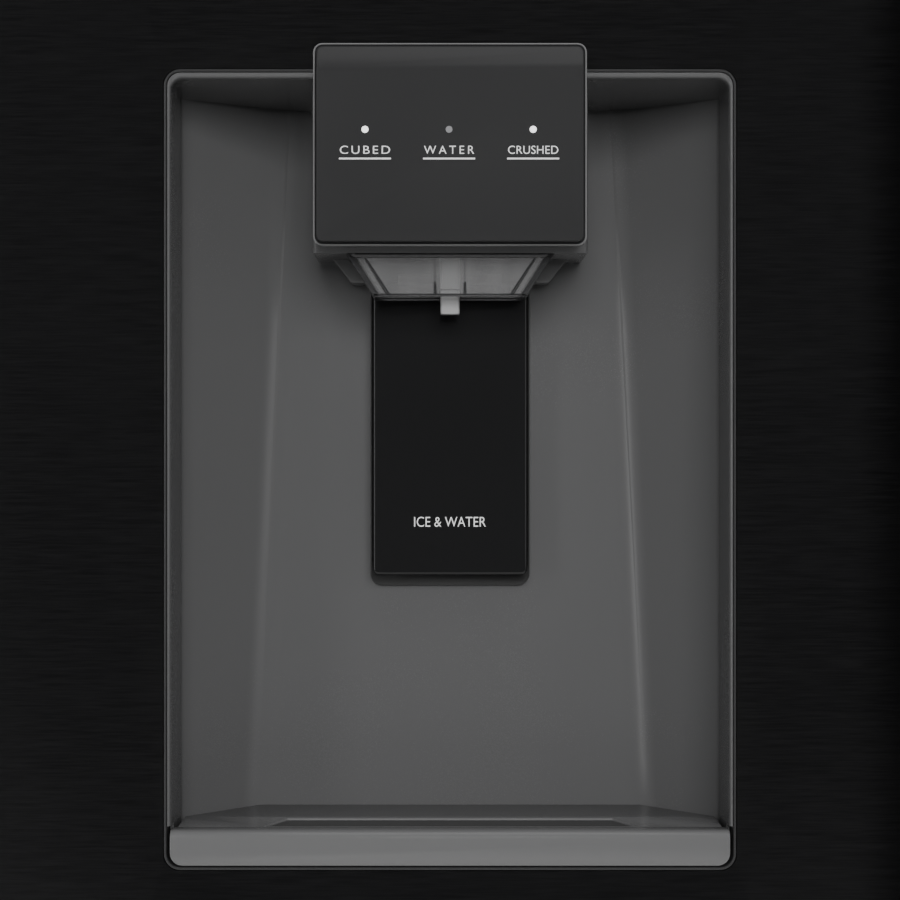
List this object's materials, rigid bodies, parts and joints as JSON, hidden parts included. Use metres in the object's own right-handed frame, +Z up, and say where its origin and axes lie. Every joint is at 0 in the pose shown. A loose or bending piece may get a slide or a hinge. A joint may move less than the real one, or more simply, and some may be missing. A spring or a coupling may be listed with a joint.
{
  "type": "french door refrigerator",
  "caption": "Upright refrigerator with two side-by-side doors over a freezer drawer, bar handles, and an ice and water dispenser recessed in the left door.",
  "frame": {"origin": "middle of the outline at floor level", "axes": "+X to the right seen from the front, -Y out of the doors, +Z up"},
  "size_m": [0.908, 0.875, 1.78],
  "materials": {
    "black_steel": "black stainless, fine level brushing",
    "cabinet_paint": "dark textured paint",
    "galvanised": "galvanised sheet",
    "foam": "rigid insulation foam",
    "liner_white": "white moulded liner",
    "grey_plastic": "dark grey moulded plastic, fine texture",
    "recess_grey": "satin grey recess lining",
    "light_grey": "satin light grey trim",
    "panel_grey": "satin charcoal panel",
    "gloss_black": "gloss black",
    "clear_plastic": "clear moulded plastic",
    "shelf_glass": "tempered glass",
    "seal_rubber": "soft seal",
    "roller_rubber": "hard tread",
    "compressor_paint": "black enamel shell",
    "coil_metal": "bare finned coil",
    "zinc_steel": "zinc plated steel",
    "brass_fitting": "machined brass",
    "white_plastic": "white moulded plastic"
  },
  "bodies": {
    "cabinet": {"cabinet_wrapper": "cabinet_paint", "cabinet_foam": "foam", "cabinet_liner": "liner_white", "back_panel": "galvanised", "machine_cover": "galvanised", "toe_grille": "grey_plastic", "base_frame": "zinc_steel", "compressor": "compressor_paint", "condenser": "coil_metal", "top_hinges": "zinc_steel", "hinge_covers": "grey_plastic", "center_hinges": "zinc_steel", "water_inlet": "brass_fitting", "cord_gland": "grey_plastic", "shelf_glass": "shelf_glass", "crisper_cover": "shelf_glass", "duct_covers": "white_plastic", "filter_housing": "white_plastic", "evaporator": "coil_metal", "freezer_rails_outer": "zinc_steel"},
    "left_door": {"left_door_skin": "black_steel", "left_door_liner": "liner_white", "left_door_gasket": "seal_rubber", "left_door_handle": "black_steel", "dispenser_trim": "light_grey", "dispenser_housing": "recess_grey", "control_head": "panel_grey", "head_housing": "recess_grey", "chute_funnel": "clear_plastic", "water_nozzle": "light_grey", "paddle_pocket": "panel_grey", "ice_box": "white_plastic", "ice_bucket": "clear_plastic", "ice_maker": "white_plastic"},
    "mullion": {"flip_mullion": "grey_plastic"},
    "dispenser_paddle": {"paddle": "gloss_black"},
    "ice_flap": {"duct_flap": "grey_plastic"},
    "tray": {"drip_tray": "light_grey"},
    "auger": {"ice_auger": "zinc_steel"},
    "right_door": {"right_door_skin": "black_steel", "right_door_liner": "liner_white", "right_door_gasket": "seal_rubber", "right_door_handle": "black_steel", "right_door_bins": "clear_plastic"},
    "dairy_door": {"dairy_lid": "clear_plastic"},
    "freezer_drawer": {"freezer_drawer_skin": "black_steel", "freezer_drawer_liner": "liner_white", "freezer_gasket": "seal_rubber", "freezer_handle": "black_steel", "freezer_basket": "white_plastic"},
    "upper_tray": {"freezer_tray": "clear_plastic"},
    "middle_rails": {"freezer_rails_middle": "zinc_steel"},
    "crisper_drawer_left": {"crisper_left": "clear_plastic"},
    "crisper_drawer_right": {"crisper_right": "clear_plastic"},
    "filter": {"water_filter": "white_plastic"},
    "fan_condenser": {"condenser_fan": "grey_plastic"},
    "fan_evaporator": {"evaporator_fan": "grey_plastic"},
    "leg_left": {"leveling_leg_left": "zinc_steel"},
    "leg_right": {"leveling_leg_right": "zinc_steel"},
    "rollers": {"rear_rollers": "roller_rubber"}
  },
  "joints": [
    {"name": "left_door_hinge", "type": "hinge", "parent": "cabinet", "child": "left_door", "pos_m": [-0.432, -0.3425, 1.2], "axis": [0, 0, -1], "range_deg": [0, 125]},
    {"name": "right_door_hinge", "type": "hinge", "parent": "cabinet", "child": "right_door", "pos_m": [0.432, -0.3425, 1.2], "axis": [0, 0, 1], "range_deg": [0, 125]},
    {"name": "mullion_hinge", "type": "hinge", "parent": "left_door", "child": "mullion", "pos_m": [-0.025, -0.285, 1.2], "axis": [0, 0, -1], "range_deg": [0, 90]},
    {"name": "paddle_pivot", "type": "hinge", "parent": "left_door", "child": "dispenser_paddle", "pos_m": [-0.236, -0.318, 1.268], "axis": [1, 0, 0], "range_deg": [0, 8], "stiffness_Nm_per_rad": 0.6},
    {"name": "flap_pivot", "type": "hinge", "parent": "left_door", "child": "ice_flap", "pos_m": [-0.236, -0.321, 1.3525], "axis": [1, 0, 0], "range_deg": [0, 56]},
    {"name": "drip_tray_slide", "type": "slide", "parent": "left_door", "child": "tray", "axis": [0, -1, 0], "range_m": [0, 0.1]},
    {"name": "auger_spin", "type": "hinge", "parent": "left_door", "child": "auger", "pos_m": [-0.236, -0.222, 1.4335], "axis": [1, 0, 0], "continuous": true},
    {"name": "dairy_lid_hinge", "type": "hinge", "parent": "right_door", "child": "dairy_door", "pos_m": [0.2, -0.201, 1.678], "axis": [1, 0, 0], "range_deg": [0, 90]},
    {"name": "freezer_drawer_slide", "type": "slide", "parent": "cabinet", "child": "freezer_drawer", "axis": [0, -1, 0], "range_m": [0, 0.4]},
    {"name": "middle_rail_slide", "type": "slide", "parent": "cabinet", "child": "middle_rails", "axis": [0, -1, 0], "range_m": [0, 0.2]},
    {"name": "upper_tray_slide", "type": "slide", "parent": "freezer_drawer", "child": "upper_tray", "axis": [0, 1, 0], "range_m": [0, 0.15]},
    {"name": "crisper_left_slide", "type": "slide", "parent": "cabinet", "child": "crisper_drawer_left", "axis": [0, -1, 0], "range_m": [0, 0.105]},
    {"name": "crisper_right_slide", "type": "slide", "parent": "cabinet", "child": "crisper_drawer_right", "axis": [0, -1, 0], "range_m": [0, 0.105]},
    {"name": "filter_turn", "type": "hinge", "parent": "cabinet", "child": "filter", "pos_m": [0.25, 0, 1.664], "axis": [0, -1, 0], "range_deg": [0, 90]},
    {"name": "condenser_fan_spin", "type": "hinge", "parent": "cabinet", "child": "fan_condenser", "pos_m": [-0.0965, 0.34, 0.14], "axis": [1, 0, 0], "continuous": true},
    {"name": "evaporator_fan_spin", "type": "hinge", "parent": "cabinet", "child": "fan_evaporator", "pos_m": [0, 0.276, 0.615], "axis": [0, 1, 0], "continuous": true},
    {"name": "leg_left_screw", "type": "hinge", "parent": "cabinet", "child": "leg_left", "pos_m": [-0.38, -0.25, 0.03], "axis": [0, 0, 1], "continuous": true},
    {"name": "leg_right_screw", "type": "hinge", "parent": "cabinet", "child": "leg_right", "pos_m": [0.38, -0.25, 0.03], "axis": [0, 0, 1], "continuous": true},
    {"name": "roller_spin", "type": "hinge", "parent": "cabinet", "child": "rollers", "pos_m": [0, 0.37, 0.024], "axis": [1, 0, 0], "continuous": true}
  ],
  "couplings": [
    {"joint": "flap_pivot", "follows": "paddle_pivot", "ratio": 7},
    {"joint": "middle_rail_slide", "follows": "freezer_drawer_slide", "ratio": 0.5}
  ]
}
